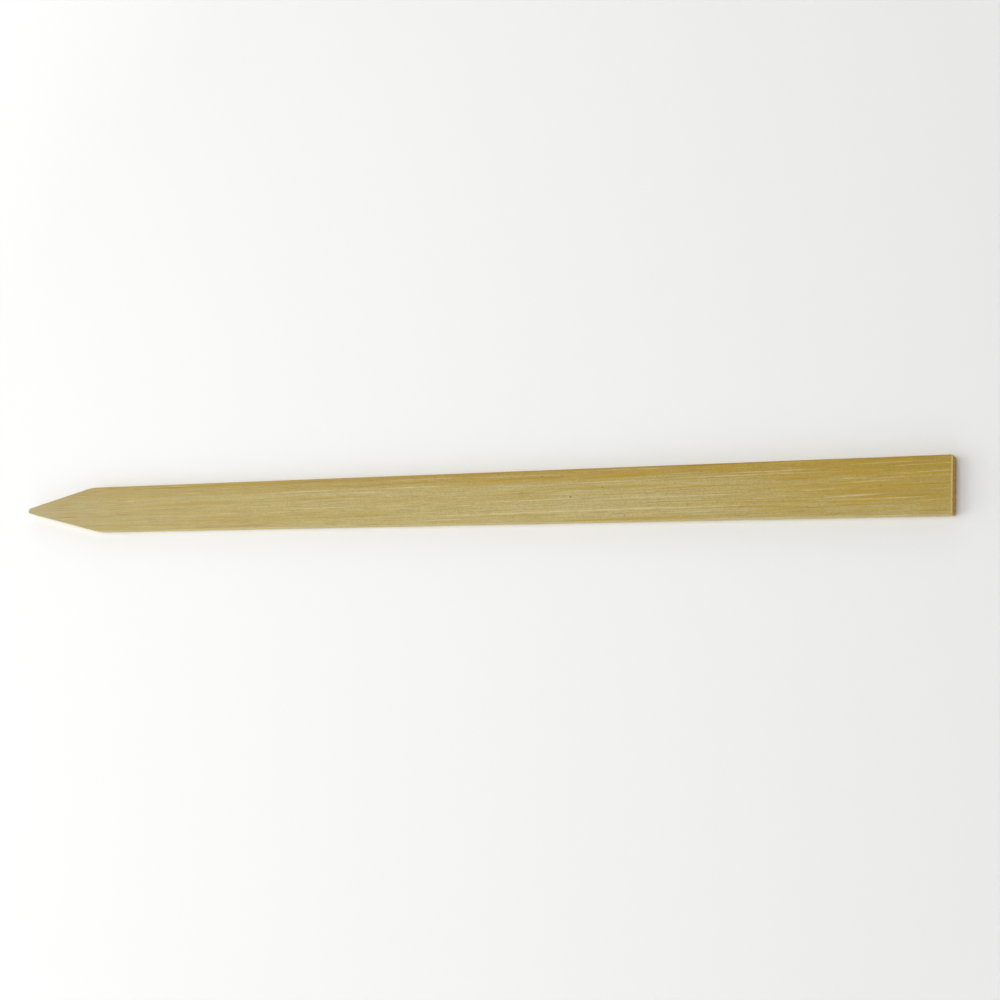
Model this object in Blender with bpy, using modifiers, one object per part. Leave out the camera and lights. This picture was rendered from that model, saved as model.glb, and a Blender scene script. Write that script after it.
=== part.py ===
"""Bamboo folder: one flat strip of split bamboo, cut to a point at one end and square at the other.

Frame: metres, +Z up. The strip lies on its broad underside at z = 0 with its length along X. The point
is at -X and the square end at +X. The origin is under the middle of the strip's bounding box.
"""

import math

import bmesh
import bpy
from mathutils import Vector

MM = 0.001

# Driving dimensions of the strip
LENGTH = 210.0 * MM  # nose to square end
WIDTH = 10.0 * MM
THICKNESS = 2.3 * MM

# The point: two knife cuts that would meet on the centreline, rubbed round at the nose
FAR_CUT_ANGLE = math.radians(13.1)  # on the +Y edge, measured from the centreline
NEAR_CUT_ANGLE = math.radians(11.8)  # on the -Y edge, which is cut a little longer
NOSE_RADIUS = 0.65 * MM
FAR_SHOULDER_RADIUS = 10.0 * MM  # where each cut runs out into the long edge
NEAR_SHOULDER_RADIUS = 6.0 * MM

# Sanding
END_CORNER_RADIUS = 0.35 * MM  # upright corners of the square end
ARRIS_RADIUS = 0.18 * MM  # every edge between a broad face and a side
ARRIS_SEGMENTS = 3
DEGREES_PER_ARC_STEP = 11.0

# Mesh tolerances
WELD_DISTANCE = 0.001 * MM
FLAT_ANGLE = math.radians(0.5)  # faces closer than this in angle are one flat face
ARRIS_ANGLE = math.radians(60.0)  # edges sharper than this are arrises

BAMBOO_COLOUR = (0.49, 0.385, 0.155, 1.0)
BAMBOO_ROUGHNESS = 0.55


def clear_scene():
    for leftover in list(bpy.data.objects):
        bpy.data.objects.remove(leftover, do_unlink=True)


def bamboo_material():
    material = bpy.data.materials.new("bamboo")
    material.use_nodes = True
    shader = material.node_tree.nodes["Principled BSDF"]
    shader.inputs["Base Color"].default_value = BAMBOO_COLOUR
    shader.inputs["Roughness"].default_value = BAMBOO_ROUGHNESS
    shader.inputs["Metallic"].default_value = 0.0
    return material


def rounded_corner(before, corner, after, radius):
    """Points along the arc that rounds a corner of the outline, running from the first side to the second."""
    towards_before = (before - corner).normalized()
    towards_after = (after - corner).normalized()
    half_angle = towards_before.angle(towards_after) / 2
    tangent_length = radius / math.tan(half_angle)
    bisector = (towards_before + towards_after).normalized()
    centre = corner + bisector * (radius / math.sin(half_angle))
    first = corner + towards_before * tangent_length - centre
    last = corner + towards_after * tangent_length - centre
    turn = first.angle_signed(last)
    steps = max(2, math.ceil(math.degrees(abs(turn)) / DEGREES_PER_ARC_STEP))
    start_angle = math.atan2(first.y, first.x)
    angles = [start_angle - turn * step / steps for step in range(steps + 1)]
    return [centre + Vector((math.cos(angle), math.sin(angle))) * radius for angle in angles]


def apex_x():
    """Where the two cuts would meet: ahead of the nose by what its rounding has taken off."""
    half_angle = (FAR_CUT_ANGLE + NEAR_CUT_ANGLE) / 2
    bisector_tilt = (FAR_CUT_ANGLE - NEAR_CUT_ANGLE) / 2
    centre_from_apex = NOSE_RADIUS / math.sin(half_angle) * math.cos(bisector_tilt)
    return -LENGTH / 2 - (centre_from_apex - NOSE_RADIUS)


def outline_points():
    """The strip's plan: nose, far shoulder, the two corners of the square end, near shoulder."""
    apex = Vector((apex_x(), 0.0))
    far_shoulder = Vector((apex.x + WIDTH / 2 / math.tan(FAR_CUT_ANGLE), WIDTH / 2))
    far_end = Vector((LENGTH / 2, WIDTH / 2))
    near_end = Vector((LENGTH / 2, -WIDTH / 2))
    near_shoulder = Vector((apex.x + WIDTH / 2 / math.tan(NEAR_CUT_ANGLE), -WIDTH / 2))
    corners = [
        (apex, NOSE_RADIUS),
        (far_shoulder, FAR_SHOULDER_RADIUS),
        (far_end, END_CORNER_RADIUS),
        (near_end, END_CORNER_RADIUS),
        (near_shoulder, NEAR_SHOULDER_RADIUS),
    ]
    points = []
    for index, (corner, radius) in enumerate(corners):
        before = corners[index - 1][0]
        after = corners[(index + 1) % len(corners)][0]
        points += rounded_corner(before, corner, after, radius)
    return points


def plan_curve(points):
    """The outline as a filled 2D curve, extruded to the strip's full thickness."""
    curve = bpy.data.curves.new("strip_plan", "CURVE")
    curve.dimensions = "2D"
    curve.fill_mode = "BOTH"
    curve.extrude = THICKNESS / 2
    spline = curve.splines.new("POLY")
    spline.points.add(len(points) - 1)
    for control, point in zip(spline.points, points):
        control.co = (point.x, point.y, 0.0, 1.0)
    spline.use_cyclic_u = True
    return bpy.data.objects.new("strip_plan", curve)


def solid_from_curve(curve_object, name, collection):
    """The curve's solid as a mesh object with its caps welded on, each cap a single face."""
    collection.objects.link(curve_object)
    curve_object.location.z = THICKNESS / 2
    bpy.context.view_layer.update()
    evaluated = curve_object.evaluated_get(bpy.context.evaluated_depsgraph_get())
    mesh = bpy.data.meshes.new_from_object(evaluated)
    mesh.name = name
    solid = bpy.data.objects.new(name, mesh)
    solid.matrix_world = curve_object.matrix_world
    collection.objects.link(solid)
    bpy.data.objects.remove(curve_object, do_unlink=True)

    shell = bmesh.new()
    shell.from_mesh(mesh)
    bmesh.ops.remove_doubles(shell, verts=shell.verts, dist=WELD_DISTANCE)
    bmesh.ops.dissolve_limit(
        shell,
        angle_limit=FLAT_ANGLE,
        verts=shell.verts,
        edges=shell.edges,
        use_dissolve_boundaries=False,
    )
    bmesh.ops.recalc_face_normals(shell, faces=shell.faces)
    shell.to_mesh(mesh)
    shell.free()
    return solid


def soften_arrises(solid):
    bevel = solid.modifiers.new("arrises", "BEVEL")
    bevel.width = ARRIS_RADIUS
    bevel.segments = ARRIS_SEGMENTS
    bevel.limit_method = "ANGLE"
    bevel.angle_limit = ARRIS_ANGLE


def bamboo_strip(collection):
    """The whole tool: a strip of bamboo with its grain along X."""
    strip = solid_from_curve(plan_curve(outline_points()), "bamboo_strip", collection)
    strip.data.materials.append(bamboo_material())
    soften_arrises(strip)
    strip.data.shade_smooth()
    strip.data.set_sharp_from_angle(angle=math.radians(40.0))
    return strip


def main():
    clear_scene()
    folder = bpy.data.collections.new("bamboo_folder")
    bpy.context.scene.collection.children.link(folder)
    bamboo_strip(folder)


main()
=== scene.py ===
"""The bamboo folder's looks: the strip remade as a fine mesh with its grain carved in, bamboo and
end-grain materials, a pale floor, soft light, and a camera high up beyond the square end."""

import math
from collections import namedtuple

import bmesh
import bpy
import numpy as np
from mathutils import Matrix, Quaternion, Vector
from mathutils.geometry import convex_hull_2d


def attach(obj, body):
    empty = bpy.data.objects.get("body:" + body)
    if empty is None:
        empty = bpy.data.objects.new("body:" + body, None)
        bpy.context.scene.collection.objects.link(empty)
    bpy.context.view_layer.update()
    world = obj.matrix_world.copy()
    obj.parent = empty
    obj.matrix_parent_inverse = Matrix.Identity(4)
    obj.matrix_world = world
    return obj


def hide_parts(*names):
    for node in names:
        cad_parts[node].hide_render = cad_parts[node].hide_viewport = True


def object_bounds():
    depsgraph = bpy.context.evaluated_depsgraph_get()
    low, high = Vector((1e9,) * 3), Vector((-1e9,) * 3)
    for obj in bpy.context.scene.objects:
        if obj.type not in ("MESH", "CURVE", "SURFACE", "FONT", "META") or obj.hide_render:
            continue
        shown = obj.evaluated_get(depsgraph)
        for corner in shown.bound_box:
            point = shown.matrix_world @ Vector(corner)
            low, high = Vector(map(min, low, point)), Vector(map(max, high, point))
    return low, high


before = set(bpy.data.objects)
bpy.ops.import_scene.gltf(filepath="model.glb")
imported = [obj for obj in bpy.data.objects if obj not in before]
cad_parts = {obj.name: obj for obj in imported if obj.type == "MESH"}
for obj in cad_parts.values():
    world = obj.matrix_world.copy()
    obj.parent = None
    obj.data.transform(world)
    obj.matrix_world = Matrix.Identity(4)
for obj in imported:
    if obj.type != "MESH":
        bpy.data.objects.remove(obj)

MM = 0.001
CAD_NODE = "bamboo_strip"
CAD_LOW, CAD_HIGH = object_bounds()
CENTRE = (CAD_LOW + CAD_HIGH) / 2
LENGTH, WIDTH, THICKNESS = CAD_HIGH - CAD_LOW


# ------------------------------------------------------------------ the strip's mesh

ARRIS_RADIUS = 0.18 * MM
ARRIS_STEPS = 6
NOSE_CAP = 0.22 * MM  # how much of the nose's round is left to the mesh's short front side
END_CAP = 0.10 * MM  # the same for the two corners of the square end
CAP_BLEND = 1.5 * MM  # how far from an end its curve still bends the mesh's rows
CELL_ACROSS = 0.12 * MM
CELL_UPRIGHT = 0.13 * MM
FINEST_CELL_ALONG = 0.05 * MM
COARSEST_CELL_ALONG = 1.1 * MM
CELL_GROWTH = 0.08  # how much a cell along the strip grows with its distance from the end
SAME_PLACE = 7  # decimal places of a metre to which two corners must agree to be one


class Plan:
    """The CAD strip's outline seen from above, as curves for the mesh to follow."""

    def __init__(self, node):
        # Rounding joins the points that lie above one another, which would leave sides of no length.
        places = [vertex.co.xy for vertex in node.data.vertices]
        corners = sorted({tuple(round(value, SAME_PLACE) for value in place) for place in places})
        hull = np.array([corners[index] for index in convex_hull_2d(corners)])
        self.hull = hull
        self.nose_x = hull[:, 0].min() + NOSE_CAP
        self.end_x = hull[:, 0].max() - END_CAP
        by_x = hull[np.argsort(hull[:, 0])]
        by_y = hull[np.argsort(hull[:, 1])]
        self.far_chain = by_x[by_x[:, 1] > 0]
        self.near_chain = by_x[by_x[:, 1] < 0]
        self.nose_chain = by_y[by_y[:, 0] < self.nose_x + NOSE_CAP]
        self.end_chain = by_y[by_y[:, 0] > self.end_x - END_CAP]

    def far(self, x):
        return np.interp(x, *self.far_chain.T)

    def near(self, x):
        return np.interp(x, *self.near_chain.T)

    def nose(self, y):
        return np.interp(y, self.nose_chain[:, 1], self.nose_chain[:, 0])

    def end(self, y):
        return np.interp(y, self.end_chain[:, 1], self.end_chain[:, 0])

    def depth(self, x, y):
        """How far each point is inside the outline."""
        starts = self.hull
        sides = np.roll(self.hull, -1, axis=0) - starts
        nearest = np.full(x.shape, np.inf)
        for (start_x, start_y), (side_x, side_y) in zip(starts, sides):
            to_x = x - start_x
            to_y = y - start_y
            share = (to_x * side_x + to_y * side_y) / (side_x**2 + side_y**2)
            share = np.clip(share, 0, 1)
            gap = np.hypot(to_x - share * side_x, to_y - share * side_y)
            nearest = np.minimum(nearest, gap)
        return nearest


def arris_offsets():
    """Distances in from a side at which the rounding of its arris is sampled."""
    angles = np.linspace(0, math.pi / 2, ARRIS_STEPS + 1)
    return ARRIS_RADIUS * (1 - np.cos(angles))


def arris_drop(depth):
    """How far the rounded arris lies below the broad face, this far in from the side."""
    inside = np.clip(depth, 0, ARRIS_RADIUS)
    return ARRIS_RADIUS - np.sqrt(ARRIS_RADIUS**2 - (ARRIS_RADIUS - inside) ** 2)


def stations(plan):
    """Positions along the strip: close together at both ends, farther apart towards the middle."""
    middle = (plan.nose_x + plan.end_x) / 2
    reach = middle - plan.nose_x
    steps = list(arris_offsets())
    while steps[-1] < reach:
        cell = FINEST_CELL_ALONG + CELL_GROWTH * steps[-1]
        steps.append(steps[-1] + min(cell, COARSEST_CELL_ALONG))
    from_end = np.array(steps) * reach / steps[-1]
    return np.concatenate([plan.nose_x + from_end, (plan.end_x - from_end)[-2::-1]])


def plan_grid(plan):
    """x and y of a grid over the strip's plan: a row for each station, from the near side to the far."""
    along = stations(plan)
    near = plan.near(along)
    far = plan.far(along)
    edge = arris_offsets()
    inner_cells = math.ceil((WIDTH - 2 * ARRIS_RADIUS) / CELL_ACROSS)
    inner = np.linspace(0, 1, inner_cells + 1)[1:-1]
    between = near[:, None] + edge[-1] + (far - near - 2 * edge[-1])[:, None] * inner
    y = np.hstack([near[:, None] + edge, between, far[:, None] - edge[::-1]])

    nose_pull = np.clip(1 - (along - plan.nose_x) / CAP_BLEND, 0, 1) ** 2
    end_pull = np.clip(1 - (plan.end_x - along) / CAP_BLEND, 0, 1) ** 2
    nose_bulge = plan.nose(y[0]) - plan.nose_x
    end_bulge = plan.end(y[-1]) - plan.end_x
    x = along[:, None] + nose_pull[:, None] * nose_bulge + end_pull[:, None] * end_bulge
    return x, y


def quads(indices):
    """The four-sided faces of a grid of vertex indices."""
    corners = [indices[:-1, :-1], indices[1:, :-1], indices[1:, 1:], indices[:-1, 1:]]
    return np.stack([corner.ravel() for corner in corners], axis=1)


def rim(indices):
    """The indices round the edge of a grid, in order, back to the first."""
    sides = [indices[:, 0], indices[-1, 1:], indices[-2::-1, -1], indices[0, -2::-1]]
    return np.concatenate(sides)


def strip_mesh(plan):
    """The strip as one closed mesh: upper face, underside and the wall between them."""
    x, y = plan_grid(plan)
    drop = arris_drop(plan.depth(x, y))
    upper = np.arange(x.size).reshape(x.shape)
    lower = upper + x.size
    points = [
        np.stack([x, y, CAD_HIGH.z - drop], axis=-1).reshape(-1, 3),
        np.stack([x, y, CAD_LOW.z + drop], axis=-1).reshape(-1, 3),
    ]
    loop = rim(upper)[:-1]
    rows = math.ceil((THICKNESS - 2 * ARRIS_RADIUS) / CELL_UPRIGHT)
    wall = [loop]
    for row in range(1, rows):
        level = points[0][loop] + (points[1][loop] - points[0][loop]) * row / rows
        wall.append(2 * x.size + (row - 1) * len(loop) + np.arange(len(loop)))
        points.append(level)
    wall.append(loop + x.size)
    wall = np.array(wall)
    wall = np.hstack([wall, wall[:, :1]])
    faces = np.vstack([quads(upper), quads(lower), quads(wall)])

    mesh = bpy.data.meshes.new("folder_strip")
    mesh.from_pydata(np.vstack(points).tolist(), [], faces.tolist())
    shell = bmesh.new()
    shell.from_mesh(mesh)
    bmesh.ops.recalc_face_normals(shell, faces=shell.faces)
    shell.to_mesh(mesh)
    shell.free()
    mesh.shade_smooth()
    return mesh


# ------------------------------------------------------------------ the carved grain

# Smooth noise that sinks the surface: its humps' size in mm (along, across, up), and the seed.
Relief = namedtuple("Relief", "cell seed")
FIBRE_RELIEF = Relief((14.0, 0.26, 0.26), 3)
BUNDLE_RELIEF = Relief((45.0, 0.8, 0.8), 5)
GROOVE_RELIEF = Relief((9.0, 0.3, 0.3), 8)
PIT_RELIEF = Relief((3.0, 0.45, 0.40), 13)
HOLLOW_RELIEF = Relief((3.0, 1.4, 0.9), 21)
# How far the surface sinks, in mm for each unit of the noise's height, or of its square for the pits.
FIBRE_SINK = 0.012
BUNDLE_SINK = 0.010
GROOVE_SINK = 0.12
GROOVE_FROM = 0.78  # only what rises above this makes a groove
PIT_SINK = 0.16
HOLLOW_SINK = 0.04
NOISE_LATTICE = 64  # cells after which the noise repeats


def value_noise(points, relief):
    """Smooth random heights from 0 to 1 at these points, with one hump to each cell."""
    lattice = np.random.default_rng(relief.seed).random((NOISE_LATTICE,) * 3)
    scaled = points / np.array(relief.cell)
    whole = np.floor(scaled).astype(int)
    part = scaled - whole
    part = part * part * (3 - 2 * part)
    height = np.zeros(len(points))
    for corner in np.ndindex(2, 2, 2):
        weight = np.prod(np.where(corner, part, 1 - part), axis=1)
        index = (whole + corner) % NOISE_LATTICE
        height += weight * lattice[index[:, 0], index[:, 1], index[:, 2]]
    return height


def vertex_array(mesh, name):
    """The vertices' positions ("co") or normals ("normal"), one row each."""
    values = np.zeros(len(mesh.vertices) * 3, np.float32)
    if name == "normal":
        mesh.vertex_normals.foreach_get("vector", values)
    else:
        mesh.vertices.foreach_get(name, values)
    return values.reshape(-1, 3).astype(float)


def carve_grain(mesh):
    """Sinks the surface along its fibres, and pits the end grain. Nothing rises above the CAD."""
    points = vertex_array(mesh, "co") / MM
    normals = vertex_array(mesh, "normal")
    tilted = points.copy()
    tilted[:, 1] = grain_across(points[:, 0], points[:, 1])
    fibres = FIBRE_SINK * value_noise(tilted, FIBRE_RELIEF)
    bundles = BUNDLE_SINK * value_noise(tilted, BUNDLE_RELIEF)
    grooves = GROOVE_SINK * np.clip(value_noise(tilted, GROOVE_RELIEF) - GROOVE_FROM, 0, 1)
    long_grain = fibres + bundles + grooves
    pits = PIT_SINK * value_noise(points, PIT_RELIEF) ** 2
    cut_end = pits + HOLLOW_SINK * value_noise(points, HOLLOW_RELIEF)
    # From 0 where a face looks 60 degrees or more away from +X to 1 where it looks straight along it.
    facing_end = np.clip(normals[:, 0] * 2 - 1, 0, 1)
    sink = long_grain * (1 - facing_end) + cut_end * facing_end
    moved = (points - normals * sink[:, None]) * MM
    mesh.vertices.foreach_set("co", moved.astype(np.float32).ravel())
    mesh.update()


# ------------------------------------------------------------------ how the grain runs

GRAIN_SLOPE = 0.009  # rise towards the far side for each millimetre towards the square end
NODE_AT = 84.0  # mm: a planed-off node of the cane, past which the fibres run differently
SLOPE_PAST_NODE = 0.012  # added to the slope there
NODE_RAGGEDNESS = 7.0  # mm: how far along the strip the node's line wanders
NODE_SHIFT = 50.0  # mm: added to the height past the node, where the patterns have to start afresh
SPINDLE_EDGE = 1.15  # a streak fades out at this share of its half length and half width
SPINDLE_HEART = 0.35  # and is at full strength within this share


def grain_across(along, across):
    """The position across the fibres, which run slightly askew, in mm."""
    return across - GRAIN_SLOPE * along - SLOPE_PAST_NODE * np.maximum(along - NODE_AT, 0)


# Streaks that stand out on the upper face, in mm from the strip's centre: where the middle of each
# lies along and across, half its length, half its width, and how strong it is.
Streak = namedtuple("Streak", "along across half_length half_width strength")
PALE_STREAKS = [
    Streak(41, -2.95, 40, 0.19, 1.0),
    Streak(14, -3.33, 13, 0.15, 1.0),
    Streak(60, -3.62, 18, 0.10, 0.7),
    Streak(8, -4.15, 5, 0.11, 0.9),
    Streak(33, -3.85, 6, 0.10, 0.6),
    Streak(55, -0.75, 24, 0.11, 0.8),
    Streak(27, -0.78, 10, 0.11, 0.9),
    Streak(12, -1.45, 3.5, 0.10, 1.0),
    Streak(-3, -1.03, 7, 0.11, 0.9),
    Streak(-22, -1.15, 15, 0.10, 0.8),
    Streak(72, -1.55, 3, 0.09, 0.6),
    Streak(-26, 2.40, 11, 0.14, 0.7),
    Streak(0, 2.52, 10, 0.13, 0.9),
    Streak(-11, 1.80, 6, 0.09, 0.7),
    Streak(27, 2.10, 12, 0.10, 0.6),
    Streak(42, 2.28, 11, 0.11, 0.8),
    Streak(70, 2.68, 17, 0.11, 0.9),
    Streak(74, 3.22, 9, 0.10, 0.9),
    Streak(2, 4.10, 10, 0.11, 0.6),
    Streak(24, 3.98, 12, 0.09, 0.6),
    Streak(45, 4.55, 14, 0.10, 0.6),
    Streak(90, -1.40, 5, 0.09, 1.0),
    Streak(87, -1.60, 5, 0.08, 0.9),
    Streak(84, -2.20, 5, 0.07, 0.8),
    Streak(94, -2.08, 8, 0.08, 1.0),
    Streak(81.5, -0.35, 2.5, 0.09, 0.8),
    Streak(85, -0.10, 4, 0.07, 0.7),
    Streak(92, 0.95, 5, 0.08, 0.8),
    Streak(89, 0.78, 4, 0.08, 0.7),
    Streak(88, 1.50, 4, 0.08, 0.8),
    Streak(95, 1.95, 6, 0.06, 0.6),
    Streak(97, -4.15, 4, 0.07, 0.7),
    Streak(94, 4.00, 7, 0.09, 0.7),
    Streak(100, 2.25, 7, 0.09, 0.6),
]
GOLDEN_STREAKS = [
    Streak(24, 3.30, 16, 0.36, 0.8),
    Streak(46, 3.40, 11, 0.34, 1.0),
    Streak(28, 1.05, 13, 0.18, 0.8),
    Streak(45, 1.30, 15, 0.26, 0.8),
    Streak(-22, 0.95, 16, 0.30, 0.4),
    Streak(-53, 0.62, 20, 0.44, 0.5),
    Streak(-16, -3.08, 20, 0.09, 0.7),
    Streak(78.5, 1.82, 7.5, 0.23, 1.0),
    Streak(81.5, 0.75, 2, 0.15, 1.0),
    Streak(79, -2.22, 3, 0.13, 1.0),
    Streak(82, -3.35, 2, 0.16, 1.0),
    Streak(91, -0.62, 5, 0.32, 0.9),
    Streak(98, -0.75, 4, 0.11, 0.8),
    Streak(99, 0.05, 7, 0.17, 1.0),
    Streak(95, 4.40, 14, 0.20, 1.0),
    Streak(97, 3.70, 12, 0.12, 1.0),
    Streak(94, 3.30, 12, 0.13, 1.0),
    Streak(91, 2.95, 8, 0.09, 1.0),
    Streak(98, 2.60, 8, 0.07, 0.8),
    Streak(96, 1.30, 9, 0.08, 0.7),
    Streak(94, -0.35, 8, 0.09, 1.0),
    Streak(102, -4.30, 4.5, 0.19, 1.0),
    Streak(102, -2.75, 4.5, 0.10, 0.9),
    Streak(-94, 1.20, 5, 0.27, 0.55),
    Streak(-92, -1.75, 4, 0.26, 0.55),
    Streak(-52, 4.30, 27, 0.25, 0.9),
    Streak(-50, -3.15, 15, 0.15, 0.6),
    Streak(-60, 2.60, 22, 0.12, 0.5),
    Streak(47, -4.75, 16, 0.30, 0.8),
]
BROWN_STREAKS = [
    Streak(-38, -4.45, 11, 0.18, 0.9),
    Streak(-42, -3.33, 11, 0.09, 0.7),
    Streak(-62, -0.52, 12, 0.09, 0.9),
    Streak(-14, -3.05, 16, 0.08, 0.7),
    Streak(-24, 4.40, 14, 0.25, 0.7),
    Streak(-57, 4.30, 24, 0.11, 0.8),
    Streak(10, 4.65, 30, 0.14, 0.5),
    Streak(58, 4.72, 40, 0.12, 1.0),
    Streak(94, 4.62, 13, 0.09, 0.8),
    Streak(24, 3.45, 11, 0.14, 0.7),
    Streak(45, 3.28, 9, 0.11, 0.6),
    Streak(30, 1.32, 9, 0.07, 0.7),
    Streak(44, 1.02, 12, 0.07, 0.6),
    Streak(40, 2.08, 15, 0.07, 0.5),
    Streak(63, 2.50, 10, 0.06, 0.6),
    Streak(66, -0.45, 5, 0.07, 0.7),
    Streak(69, -3.42, 6, 0.07, 0.6),
    Streak(79.5, 1.70, 4.5, 0.08, 0.6),
    Streak(82, 0.70, 1.5, 0.09, 0.8),
    Streak(96, 3.62, 7, 0.08, 0.7),
    Streak(100, 0.16, 5, 0.07, 0.7),
    Streak(101.5, -4.38, 4, 0.08, 0.8),
    Streak(-92, -1.70, 3, 0.08, 0.7),
    Streak(98, 3.15, 7, 0.06, 0.7),
    Streak(90, 4.15, 8, 0.06, 0.6),
    Streak(86, -4.55, 7, 0.10, 0.7),
    Streak(95, -0.80, 6, 0.06, 0.7),
]
SPECKS = [
    Streak(35.2, -0.32, 0.22, 0.17, 1.0),
    Streak(93.1, 0.15, 0.16, 0.13, 0.8),
    Streak(54.4, -0.12, 0.16, 0.12, 0.7),
    Streak(46.4, -3.95, 0.20, 0.13, 0.7),
    Streak(29.0, 3.72, 0.28, 0.12, 0.7),
    Streak(61.0, 3.62, 0.24, 0.12, 0.6),
    Streak(-6.0, -0.30, 0.20, 0.15, 0.4),
    Streak(48.3, -1.70, 0.16, 0.12, 0.5),
]


# ------------------------------------------------------------------ node helpers

# A smooth change of one value with another, held before its start and beyond its end.
Change = namedtuple("Change", "start end at_start at_end", defaults=(0.0, 1.0))
# Noise: its humps' size in mm (along, across, up), how much finer detail it has, and its seed.
Pattern = namedtuple("Pattern", "cell detail seed")


def add(tree, kind, inputs=None, **settings):
    """A shader node with these settings, whose inputs are plain values or other nodes' outputs."""
    made = tree.nodes.new(kind)
    for name, value in settings.items():
        setattr(made, name, value)
    for name, value in (inputs or {}).items():
        if isinstance(value, bpy.types.NodeSocket):
            tree.links.new(value, made.inputs[name])
        else:
            made.inputs[name].default_value = value
    return made


def maths(tree, operation, first, second=0.0, clamp=False):
    inputs = {0: first, 1: second}
    return add(tree, "ShaderNodeMath", inputs, operation=operation, use_clamp=clamp).outputs[0]


def times(tree, first, second):
    return maths(tree, "MULTIPLY", first, second)


def plus(tree, first, second):
    return maths(tree, "ADD", first, second)


def ramp(tree, value, change, curve="SMOOTHSTEP"):
    """What this change makes of the value."""
    inputs = {"Value": value, 1: change.start, 2: change.end, 3: change.at_start, 4: change.at_end}
    return add(tree, "ShaderNodeMapRange", inputs, interpolation_type=curve).outputs[0]


def mix(tree, factor, first, second, blend="MIX"):
    """The first colour where the factor is 0, and the second, blended in this way, where it is 1."""
    made = add(tree, "ShaderNodeMix", data_type="RGBA", blend_type=blend)
    for index, value in ((0, factor), (6, first), (7, second)):
        if isinstance(value, bpy.types.NodeSocket):
            tree.links.new(value, made.inputs[index])
        else:
            made.inputs[index].default_value = value
    return made.outputs[2]


def noise(tree, place, pattern):
    """Noise from 0 to 1 in this pattern, at a place in mm."""
    shrink = tuple(1 / size for size in pattern.cell)
    scaled = add(tree, "ShaderNodeVectorMath", {0: place, 1: shrink}, operation="MULTIPLY")
    inputs = {"Vector": scaled.outputs[0], "W": pattern.seed, "Scale": 1.0, "Detail": pattern.detail}
    return add(tree, "ShaderNodeTexNoise", inputs, noise_dimensions="4D").outputs["Fac"]


def vector(tree, x, y, z=0.0):
    return add(tree, "ShaderNodeCombineXYZ", {"X": x, "Y": y, "Z": z}).outputs[0]


def new_material(name):
    """A material, its node tree and its one shader."""
    material = bpy.data.materials.new(name)
    material.use_nodes = True
    tree = material.node_tree
    return material, tree, tree.nodes["Principled BSDF"]


def colour(red, green, blue):
    return (red, green, blue, 1.0)


# ------------------------------------------------------------------ the cane's colours and patterns

STRAW = colour(0.425, 0.343, 0.133)
GREY_STRAW = colour(0.409, 0.342, 0.164)
GOLD = colour(0.386, 0.259, 0.031)
DEEP_GOLD = colour(0.400, 0.262, 0.009)
BROWN = colour(0.260, 0.148, 0.038)
# Pale fibres; the same colour also makes the painted highlight on the square end's arris.
PALE_FIBRE_AND_HIGHLIGHT = colour(0.580, 0.487, 0.250)
# The sides' colour: paler than the broad faces, partly their own paler cut fibres and partly painted
# light for the light the sides catch.
SIDE_FIBRE_AND_PAINTED_LIGHT = colour(0.560, 0.465, 0.190)
DARK_SPECK = colour(0.150, 0.080, 0.022)
BLACK = colour(0.0, 0.0, 0.0)
# A fibre darkens or pales the colour round it, and the blue changes more than the red.
DARKER = colour(0.87, 0.80, 0.60)
PALER = colour(1.13, 1.19, 1.38)
FLECK_DARKER = colour(0.85, 0.83, 0.72)
FLECK_PALER = colour(1.15, 1.17, 1.27)

NODE_LINE = Pattern((400.0, 0.7, 0.7), 2.0, 0.0)
GRAIN_PATTERNS = {
    "bands": Pattern((80.0, 0.9, 1.2), 2.0, 1.0),
    "fibres": Pattern((22.0, 0.17, 0.22), 1.0, 2.0),
    "strands": Pattern((4.5, 0.15, 0.20), 1.0, 3.0),
    "flecks": Pattern((0.32, 0.17, 0.20), 1.0, 4.0),
    "wisps": Pattern((9.0, 0.15, 0.20), 1.0, 5.0),
    "veins": Pattern((16.0, 0.24, 0.30), 1.0, 6.0),
    "dashes": Pattern((6.0, 0.15, 0.20), 0.0, 7.0),
    "specks": Pattern((0.55, 0.26, 0.30), 0.0, 8.0),
    "breaks": Pattern((1.6, 0.20, 0.30), 0.0, 9.0),
}

# What a pattern's height from 0 to 1 does to the colour.
TONE = Change(0.3, 0.7)
GOLDEN_BANDS = Change(0.40, 0.70, 0.0, 0.30)
VEINS = Change(0.54, 0.68)
SIDE_VEINS = Change(0.52, 0.66, 0.0, 0.50)
BROWN_DASHES = Change(0.66, 0.78, 0.0, 0.42)
SCATTERED_SPECKS = Change(0.80, 0.86, 0.0, 0.65)
PALE_WISPS = Change(0.62, 0.76, 0.0, 0.50)
STREAKS_BROKEN = Change(0.30, 0.50, 0.5, 1.0)
PALE_STREAKS_BROKEN = Change(0.35, 0.58, 0.45, 1.0)

# How strongly each of these shows, from 0 to 1.
FACE_TONES = {"fibres": 0.36, "strands": 0.30}
SIDE_TONES = {"fibres": 0.75, "strands": 0.60}
FLECK_TONE = 0.66
BROWN_STREAK_TONE = 0.55
PALE_STREAK_TONE = 0.85
SIDE_TONE = 0.85

# What changes along the strip, in mm from its middle, with the square end at the high values.
GREY_AT_POINT = Change(-75.0, -100.0)
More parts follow.
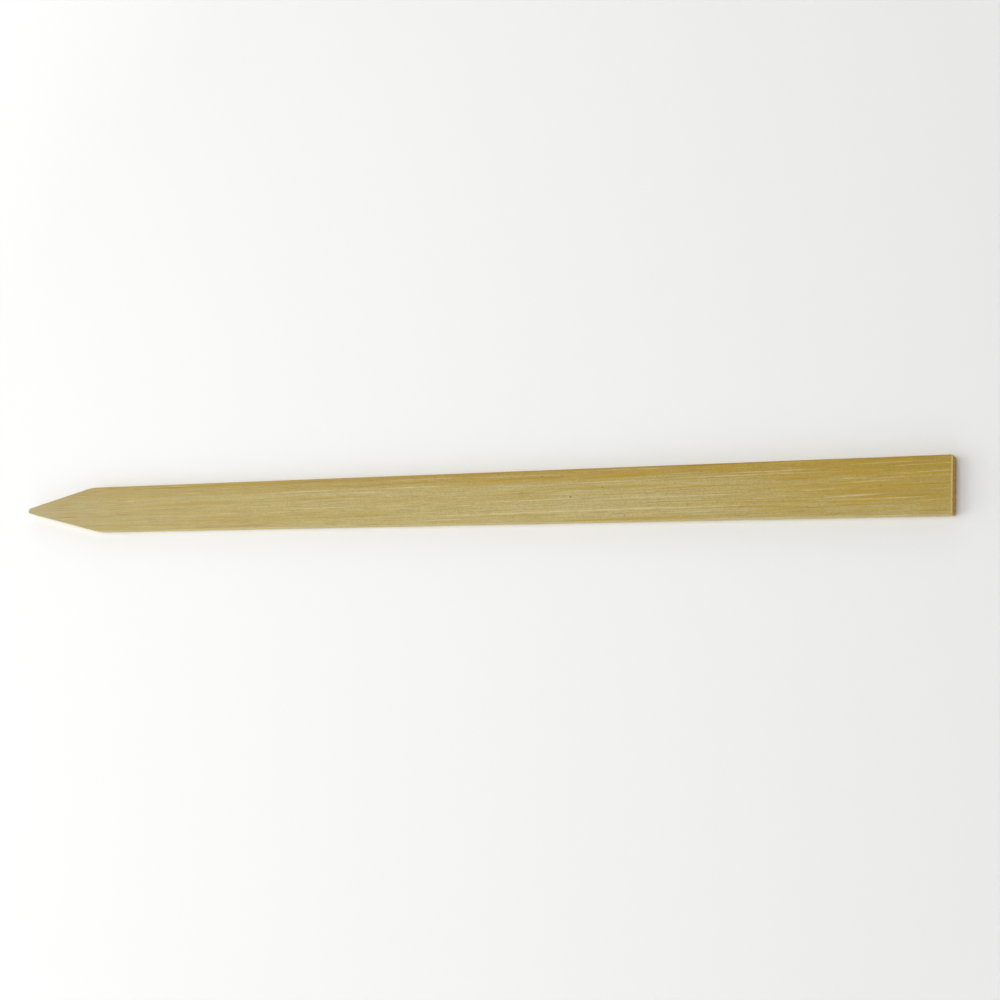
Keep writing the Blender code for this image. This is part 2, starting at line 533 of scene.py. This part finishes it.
# Painted shade: the cane darkens towards the point, cancelling the extra light that the left lamp gives
# it there.
PAINTED_SHADE_AT_POINT = Change(0.0, -100.0, 0.0, 0.08)
DARK_AT_END = Change(84.0, 104.0, 0.0, 0.035)
CONTRAST = Change(-90.0, 10.0, 0.60, 1.0)
VEINS_ALONG = Change(10.0, 90.0, 0.30, 0.95)
GOLDEN_END = Change(45.0, 98.0)
GOLDEN_END_TONE = 0.72
FAR_GOLD_ALONG = Change(-95.0, 40.0, 0.20, 0.88)
END_AT = LENGTH / MM / 2
# A painted highlight on the square end's upper arris: it fades in from 0.45 mm to 0.225 mm before the
# end.
PAINTED_HIGHLIGHT_ALONG = Change(END_AT - 0.450, END_AT - 0.225)

# What changes across it, in mm from its centreline, with the far side at the high values.
BROWN_FAR_SIDE = Change(1.8, 3.8, 0.0, 0.12)
FAR_GOLD_ACROSS = Change(1.5, 4.6)
END_GOLD_ACROSS = Change(-0.8, -4.0, 1.0, 0.45)

# What changes with the height above the underside, in mm.
UPPER_FACE = Change(0.9, 1.9)  # the streaks that stand out show only there
# How high on the end the painted highlight shows, and how strongly.
PAINTED_HIGHLIGHT_HEIGHT = Change(1.6, 2.0, 0.0, 0.6)

SIDE_FACING = Change(0.75, 0.30)  # how far a face looks up or down: from broad faces to sawn sides
FACE_BUMP = 0.5
FACE_BUMP_DEPTH = 0.02 * MM
FINE_RELIEF = 0.5  # the strands' and flecks' share in the bump, next to the fibres'
BROWN_RELIEF = 0.5  # how much lower the brown streaks lie in it
FIBRE_ROUGHNESS = Change(0.3, 0.7, 0.46, 0.58)
FLECK_ROUGHNESS = Change(0.3, 0.7, 0.0, 0.08)
FACE_SPECULAR = 0.35


def streak_mask(tree, place, streaks):
    """The strongest of these streaks at each place. Each is a spindle, widest in the middle."""
    strongest = 0.0
    for streak in streaks:
        centre = Vector((streak.along, grain_across(streak.along, streak.across), 0.0))
        shrink = Vector((1 / streak.half_length, 1 / streak.half_width, 0.0))
        offset = (-centre.x * shrink.x, -centre.y * shrink.y, 0.0)
        inputs = {0: place, 1: shrink, 2: offset}
        scaled = add(tree, "ShaderNodeVectorMath", inputs, operation="MULTIPLY_ADD").outputs[0]
        reach = add(tree, "ShaderNodeVectorMath", {0: scaled}, operation="LENGTH").outputs["Value"]
        mask = ramp(tree, reach, Change(SPINDLE_EDGE, SPINDLE_HEART, 0.0, streak.strength))
        strongest = maths(tree, "MAXIMUM", strongest, mask)
    return strongest


def grain_place(tree):
    """Where a point lies in the strip, in mm: along it, across it, above its underside, and across
    its fibres."""
    where = add(tree, "ShaderNodeTexCoord").outputs["Object"]
    scaled = add(tree, "ShaderNodeVectorMath", {0: where, "Scale": 1 / MM}, operation="SCALE")
    axes = add(tree, "ShaderNodeSeparateXYZ", {0: scaled.outputs[0]}).outputs
    along, across, above = axes["X"], axes["Y"], axes["Z"]
    past = maths(tree, "MAXIMUM", maths(tree, "SUBTRACT", along, NODE_AT), 0.0)
    straight = maths(tree, "SUBTRACT", across, times(tree, along, GRAIN_SLOPE))
    askew = maths(tree, "SUBTRACT", straight, times(tree, past, SLOPE_PAST_NODE))
    return along, across, above, askew


def split_at_node(tree, along, askew, above):
    """The same place lifted past the node, so that every pattern starts afresh there."""
    ragged = times(tree, noise(tree, vector(tree, along, askew, above), NODE_LINE), NODE_RAGGEDNESS)
    past_node = maths(tree, "GREATER_THAN", plus(tree, along, ragged), NODE_AT + NODE_RAGGEDNESS / 2)
    lifted = plus(tree, above, times(tree, past_node, NODE_SHIFT))
    return vector(tree, along, askew, lifted)


def fibre_tone(tree, base, pattern, strength, darker=DARKER, paler=PALER):
    """The colour darkened where the pattern is low and paled where it is high."""
    tone = mix(tree, ramp(tree, pattern, TONE), darker, paler)
    return mix(tree, strength, base, mix(tree, 1.0, base, tone, "MULTIPLY"))


def goldness(tree, along, across, bands):
    """How golden the cane is: most at the square end and along the far side."""
    end_gold = times(tree, ramp(tree, along, GOLDEN_END), GOLDEN_END_TONE)
    end_gold = times(tree, end_gold, ramp(tree, across, END_GOLD_ACROSS))
    far_gold = times(tree, ramp(tree, across, FAR_GOLD_ACROSS), ramp(tree, along, FAR_GOLD_ALONG))
    gold = plus(tree, far_gold, end_gold)
    return maths(tree, "ADD", gold, ramp(tree, bands, GOLDEN_BANDS), clamp=True)


def plain_cane(tree, along, across, grain):
    """The colour of the cane with its fibres, flecks and veins, before the streaks that stand out."""
    base = mix(tree, ramp(tree, along, GREY_AT_POINT), STRAW, GREY_STRAW)
    base = mix(tree, goldness(tree, along, across, grain["bands"]), base, GOLD)
    # painted shade towards the point
    base = mix(tree, ramp(tree, along, PAINTED_SHADE_AT_POINT), base, BLACK)
    base = mix(tree, ramp(tree, along, DARK_AT_END), base, BLACK)
    base = mix(tree, ramp(tree, across, BROWN_FAR_SIDE), base, BROWN)
    contrast = ramp(tree, along, CONTRAST)
    for name, strength in FACE_TONES.items():
        base = fibre_tone(tree, base, grain[name], times(tree, contrast, strength))
    speckle = times(tree, contrast, FLECK_TONE)
    base = fibre_tone(tree, base, grain["flecks"], speckle, FLECK_DARKER, FLECK_PALER)
    veined = times(tree, ramp(tree, grain["veins"], VEINS), ramp(tree, along, VEINS_ALONG))
    return mix(tree, veined, base, DEEP_GOLD)


def dark_marks(tree, base, place, upper, grain):
    """The colour with the upper face's golden and brown streaks and the specks over it, and how brown
    the streaks make each place."""
    broken = times(tree, ramp(tree, grain["strands"], STREAKS_BROKEN), upper)
    golden = times(tree, streak_mask(tree, place, GOLDEN_STREAKS), broken)
    brown = times(tree, streak_mask(tree, place, BROWN_STREAKS), broken)
    dots = times(tree, streak_mask(tree, place, SPECKS), upper)
    dots = maths(tree, "MAXIMUM", dots, ramp(tree, grain["specks"], SCATTERED_SPECKS))
    base = mix(tree, golden, base, DEEP_GOLD)
    base = mix(tree, times(tree, brown, BROWN_STREAK_TONE), base, BROWN)
    base = mix(tree, ramp(tree, grain["dashes"], BROWN_DASHES), base, BROWN)
    return mix(tree, dots, base, DARK_SPECK), brown


def pale_marks_and_end_highlight(tree, base, place, upper, along, above, grain):
    """The colour with the pale streaks and wisps over it, and a painted highlight along the end's upper
    arris.
    """
    dashed = times(tree, ramp(tree, grain["breaks"], PALE_STREAKS_BROKEN), upper)
    pale = times(tree, streak_mask(tree, place, PALE_STREAKS), dashed)
    # Painted highlight: the end's upper arris paled where the light catches it.
    painted_highlight = times(tree, ramp(tree, along, PAINTED_HIGHLIGHT_ALONG), ramp(tree, above, PAINTED_HIGHLIGHT_HEIGHT))
    pale = maths(tree, "MAXIMUM", times(tree, pale, PALE_STREAK_TONE), painted_highlight)
    pale = maths(tree, "MAXIMUM", pale, ramp(tree, grain["wisps"], PALE_WISPS))
    return mix(tree, pale, base, PALE_FIBRE_AND_HIGHLIGHT)


def side_colour_and_painted_light(tree, grain):
    """The colour of the sawn sides, with the same grain as the broad faces: paler, partly from their own
    paler cut fibres and partly as painted light for the light the sides catch.
    """
    side = SIDE_FIBRE_AND_PAINTED_LIGHT
    for name, strength in SIDE_TONES.items():
        side = fibre_tone(tree, side, grain[name], strength)
    side = fibre_tone(tree, side, grain["flecks"], FLECK_TONE, FLECK_DARKER, FLECK_PALER)
    return mix(tree, ramp(tree, grain["veins"], SIDE_VEINS), side, GOLD)


def upright_faces(tree):
    """1 on the sawn sides and 0 on the broad faces."""
    facing = add(tree, "ShaderNodeTexCoord").outputs["Normal"]
    upward = add(tree, "ShaderNodeSeparateXYZ", {0: facing}).outputs["Z"]
    return ramp(tree, maths(tree, "ABSOLUTE", upward), SIDE_FACING)


def bump(tree, shader, strength, depth, height):
    inputs = {"Strength": strength, "Distance": depth, "Height": height}
    tree.links.new(add(tree, "ShaderNodeBump", inputs).outputs[0], shader.inputs["Normal"])


def bamboo_material():
    """The cane: streaked broad faces, sawn sides paled partly by painted light, and fibres that a light
    catches.
    """
    material, tree, shader = new_material("bamboo")
    along, across, above, askew = grain_place(tree)
    place = split_at_node(tree, along, askew, above)
    grain = {name: noise(tree, place, pattern) for name, pattern in GRAIN_PATTERNS.items()}

    on_top = vector(tree, along, askew)
    upper = ramp(tree, above, UPPER_FACE)
    base = plain_cane(tree, along, across, grain)
    base, brown = dark_marks(tree, base, on_top, upper, grain)
    base = pale_marks_and_end_highlight(tree, base, on_top, upper, along, above, grain)
    sides = times(tree, upright_faces(tree), SIDE_TONE)
    # The sides take their paler colour, which is partly painted light.
    base = mix(tree, sides, base, side_colour_and_painted_light(tree, grain))
    tree.links.new(base, shader.inputs["Base Color"])

    fine = times(tree, plus(tree, grain["strands"], grain["flecks"]), FINE_RELIEF)
    height = plus(tree, grain["fibres"], fine)
    height = maths(tree, "SUBTRACT", height, times(tree, brown, BROWN_RELIEF))
    bump(tree, shader, FACE_BUMP, FACE_BUMP_DEPTH, height)
    fleck_roughness = ramp(tree, grain["flecks"], FLECK_ROUGHNESS)
    rough = plus(tree, ramp(tree, grain["fibres"], FIBRE_ROUGHNESS), fleck_roughness)
    tree.links.new(rough, shader.inputs["Roughness"])
    shader.inputs["Specular IOR Level"].default_value = FACE_SPECULAR
    return material


# ------------------------------------------------------------------ the end grain

END_GRAIN = colour(0.545, 0.338, 0.049)
END_BUNDLE = colour(0.330, 0.185, 0.026)
BUNDLES_PER_MM = 1.9
BUNDLE_SIZE = Change(-5.0, 5.0, 0.30, 0.44)  # across the strip, in mm: the bundles grow to the far side
BUNDLE = Change(1.0, 0.45)  # from a bundle's edge to its heart, as shares of its size
BUNDLE_TONE = 0.65
END_MOTTLE = Pattern((0.8, 0.45, 0.45), 3.0, 11.0)
END_BROWN = Change(0.30, 0.70, 0.0, 0.45)
END_ROUGHNESS = Change(0.3, 0.7, 0.7, 0.9)
END_BUMP = 0.6
END_BUMP_DEPTH = 0.05 * MM
END_SPECULAR = 0.2


def end_grain_material():
    """The sawn end: golden brown, mottled, and dotted with the darker cut ends of the fibre bundles."""
    material, tree, shader = new_material("bamboo_end_grain")
    along, across, above = grain_place(tree)[:3]
    face = vector(tree, across, above)
    scaled = add(tree, "ShaderNodeVectorMath", {0: face, "Scale": BUNDLES_PER_MM}, operation="SCALE")
    inputs = {"Vector": scaled.outputs[0], "Scale": 1.0}
    cells = add(tree, "ShaderNodeTexVoronoi", inputs, voronoi_dimensions="2D")
    from_heart = maths(tree, "DIVIDE", cells.outputs["Distance"], ramp(tree, across, BUNDLE_SIZE))
    bundle = times(tree, ramp(tree, from_heart, BUNDLE), BUNDLE_TONE)
    mottle = noise(tree, vector(tree, along, across, above), END_MOTTLE)
    base = mix(tree, ramp(tree, mottle, END_BROWN), END_GRAIN, BROWN)
    tree.links.new(mix(tree, bundle, base, END_BUNDLE), shader.inputs["Base Color"])
    bump(tree, shader, END_BUMP, END_BUMP_DEPTH, mottle)
    tree.links.new(ramp(tree, mottle, END_ROUGHNESS), shader.inputs["Roughness"])
    shader.inputs["Specular IOR Level"].default_value = END_SPECULAR
    return material


# ------------------------------------------------------------------ the piece

FACES_END = 0.5  # a face belongs to the square end if its normal points along +X by more than this


def folder_strip():
    mesh = strip_mesh(Plan(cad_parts[CAD_NODE]))
    normals = np.zeros(len(mesh.polygons) * 3, np.float32)
    mesh.polygons.foreach_get("normal", normals)
    end_faces = normals.reshape(-1, 3)[:, 0] > FACES_END
    carve_grain(mesh)
    mesh.materials.append(bamboo_material())
    mesh.materials.append(end_grain_material())
    mesh.polygons.foreach_set("material_index", end_faces.astype(np.int32))
    strip = bpy.data.objects.new("folder_strip", mesh)
    bpy.context.scene.collection.objects.link(strip)
    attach(strip, "root")
    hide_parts(CAD_NODE)


# ------------------------------------------------------------------ stage, light and camera

FLOOR_FLAT = 0.7  # m: the floor is flat this far out, then sweeps up
FLOOR_REACH = 2.4
FLOOR_RISE = 1.1
FLOOR_GAP = 0.01 * MM
SWEEP_STEPS = 24
TURN_STEPS = 96
SEAM_GAP = 1e-5  # m: points closer than this are joined where the turned floor closes
WHITE = colour(1.0, 1.0, 1.0)
FLOOR_WHITE = colour(0.82, 0.82, 0.815)
FLOOR_ROUGHNESS = 0.9
FLOOR_SPECULAR = 0.1
# Farther out than 0.13 m the floor glows more and more, so that it stays pale beyond the lights.
FLOOR_GLOW = Change(0.13, 0.75, 0.0, 0.60)

# Where each square soft light is, in m from the strip's centre, its size in m, and its power in W.
Lamp = namedtuple("Lamp", "name place size power")
LAMPS = [
    Lamp("top_light", (0.0, 0.0, 0.60), 0.30, 1.32),
    Lamp("left_light", (-0.45, -0.08, 0.39), 0.60, 2.65),
    Lamp("near_light", (0.0, -0.52, 0.30), 0.40, 0.75),
    Lamp("far_light", (0.0, 0.52, 0.30), 0.40, 0.66),
]
WORLD_LIGHT = 0.1

CAMERA_AZIMUTH = math.radians(71.4)  # round from -Y towards +X, the square end
CAMERA_ELEVATION = math.radians(59.43)
CAMERA_ROLL = math.radians(70.28)  # lays the strip across the picture with its far side up
CAMERA_DISTANCE = 1.362 * LENGTH
LOOK_AT_ALONG = 0.090 * LENGTH  # where the camera aims, from the middle of the underside
LOOK_AT_ACROSS = -0.010 * WIDTH
LENS = 53.26
SENSOR = 36.0


def floor_material():
    material, tree, shader = new_material("pale_floor")
    shader.inputs["Base Color"].default_value = FLOOR_WHITE
    shader.inputs["Roughness"].default_value = FLOOR_ROUGHNESS
    shader.inputs["Specular IOR Level"].default_value = FLOOR_SPECULAR
    where = add(tree, "ShaderNodeTexCoord").outputs["Object"]
    distance = add(tree, "ShaderNodeVectorMath", {0: where}, operation="LENGTH").outputs["Value"]
    glow = ramp(tree, distance, FLOOR_GLOW, curve="LINEAR")
    tree.links.new(glow, shader.inputs["Emission Strength"])
    shader.inputs["Emission Color"].default_value = WHITE
    material.cycles.emission_sampling = "NONE"
    return material


def floor_profile():
    """The floor from its middle out to its rim: flat, then a quarter of an ellipse upwards."""
    profile = [Vector((0.0, 0.0, 0.0)), Vector((FLOOR_FLAT, 0.0, 0.0))]
    for step in range(1, SWEEP_STEPS + 1):
        angle = math.pi / 2 * step / SWEEP_STEPS
        out = FLOOR_FLAT + (FLOOR_REACH - FLOOR_FLAT) * math.sin(angle)
        profile.append(Vector((out, 0.0, FLOOR_RISE * (1 - math.cos(angle)))))
    return profile


def sweeping_floor():
    """A round white floor whose rim sweeps up all round, so that no horizon shows from any side."""
    shell = bmesh.new()
    line = [shell.verts.new(point) for point in floor_profile()]
    for first, second in zip(line, line[1:]):
        shell.edges.new((first, second))
    bmesh.ops.spin(
        shell,
        geom=shell.verts[:] + shell.edges[:],
        axis=(0, 0, 1),
        cent=(0, 0, 0),
        angle=2 * math.pi,
        steps=TURN_STEPS,
    )
    bmesh.ops.remove_doubles(shell, verts=shell.verts, dist=SEAM_GAP)
    bmesh.ops.recalc_face_normals(shell, faces=shell.faces)
    mesh = bpy.data.meshes.new("floor")
    shell.to_mesh(mesh)
    shell.free()
    mesh.shade_smooth()
    mesh.materials.append(floor_material())
    floor = bpy.data.objects.new("floor", mesh)
    floor.location = (CENTRE.x, CENTRE.y, CAD_LOW.z - FLOOR_GAP)
    bpy.context.scene.collection.objects.link(floor)


def softbox(lamp):
    """A square soft light, turned to the strip's centre and left out of the picture."""
    area = bpy.data.lights.new(lamp.name, "AREA")
    area.size = lamp.size
    area.energy = lamp.power
    light = bpy.data.objects.new(lamp.name, area)
    light.location = CENTRE + Vector(lamp.place)
    light.rotation_mode = "QUATERNION"
    light.rotation_quaternion = (-Vector(lamp.place)).to_track_quat("-Z", "Y")
    light.visible_camera = False
    bpy.context.scene.collection.objects.link(light)


def studio_light():
    for lamp in LAMPS:
        softbox(lamp)
    world = bpy.data.worlds.new("studio")
    world.use_nodes = True
    background = world.node_tree.nodes["Background"]
    background.inputs["Color"].default_value = WHITE
    background.inputs["Strength"].default_value = WORLD_LIGHT
    bpy.context.scene.world = world
    bpy.context.scene.view_settings.view_transform = "Standard"


def product_camera():
    lens = bpy.data.cameras.new("product_camera")
    lens.lens = LENS
    lens.sensor_width = SENSOR
    camera = bpy.data.objects.new("product_camera", lens)
    level = math.cos(CAMERA_ELEVATION)
    back_along = math.sin(CAMERA_AZIMUTH) * level
    back_across = -math.cos(CAMERA_AZIMUTH) * level
    back = Vector((back_along, back_across, math.sin(CAMERA_ELEVATION)))
    target = Vector((CENTRE.x + LOOK_AT_ALONG, CENTRE.y + LOOK_AT_ACROSS, CAD_LOW.z))
    camera.location = target + back * CAMERA_DISTANCE
    camera.rotation_mode = "QUATERNION"
    camera.rotation_quaternion = (-back).to_track_quat("-Z", "Y") @ Quaternion((0, 0, 1), -CAMERA_ROLL)
    bpy.context.scene.collection.objects.link(camera)
    bpy.context.scene.camera = camera


folder_strip()
sweeping_floor()
studio_light()
product_camera()
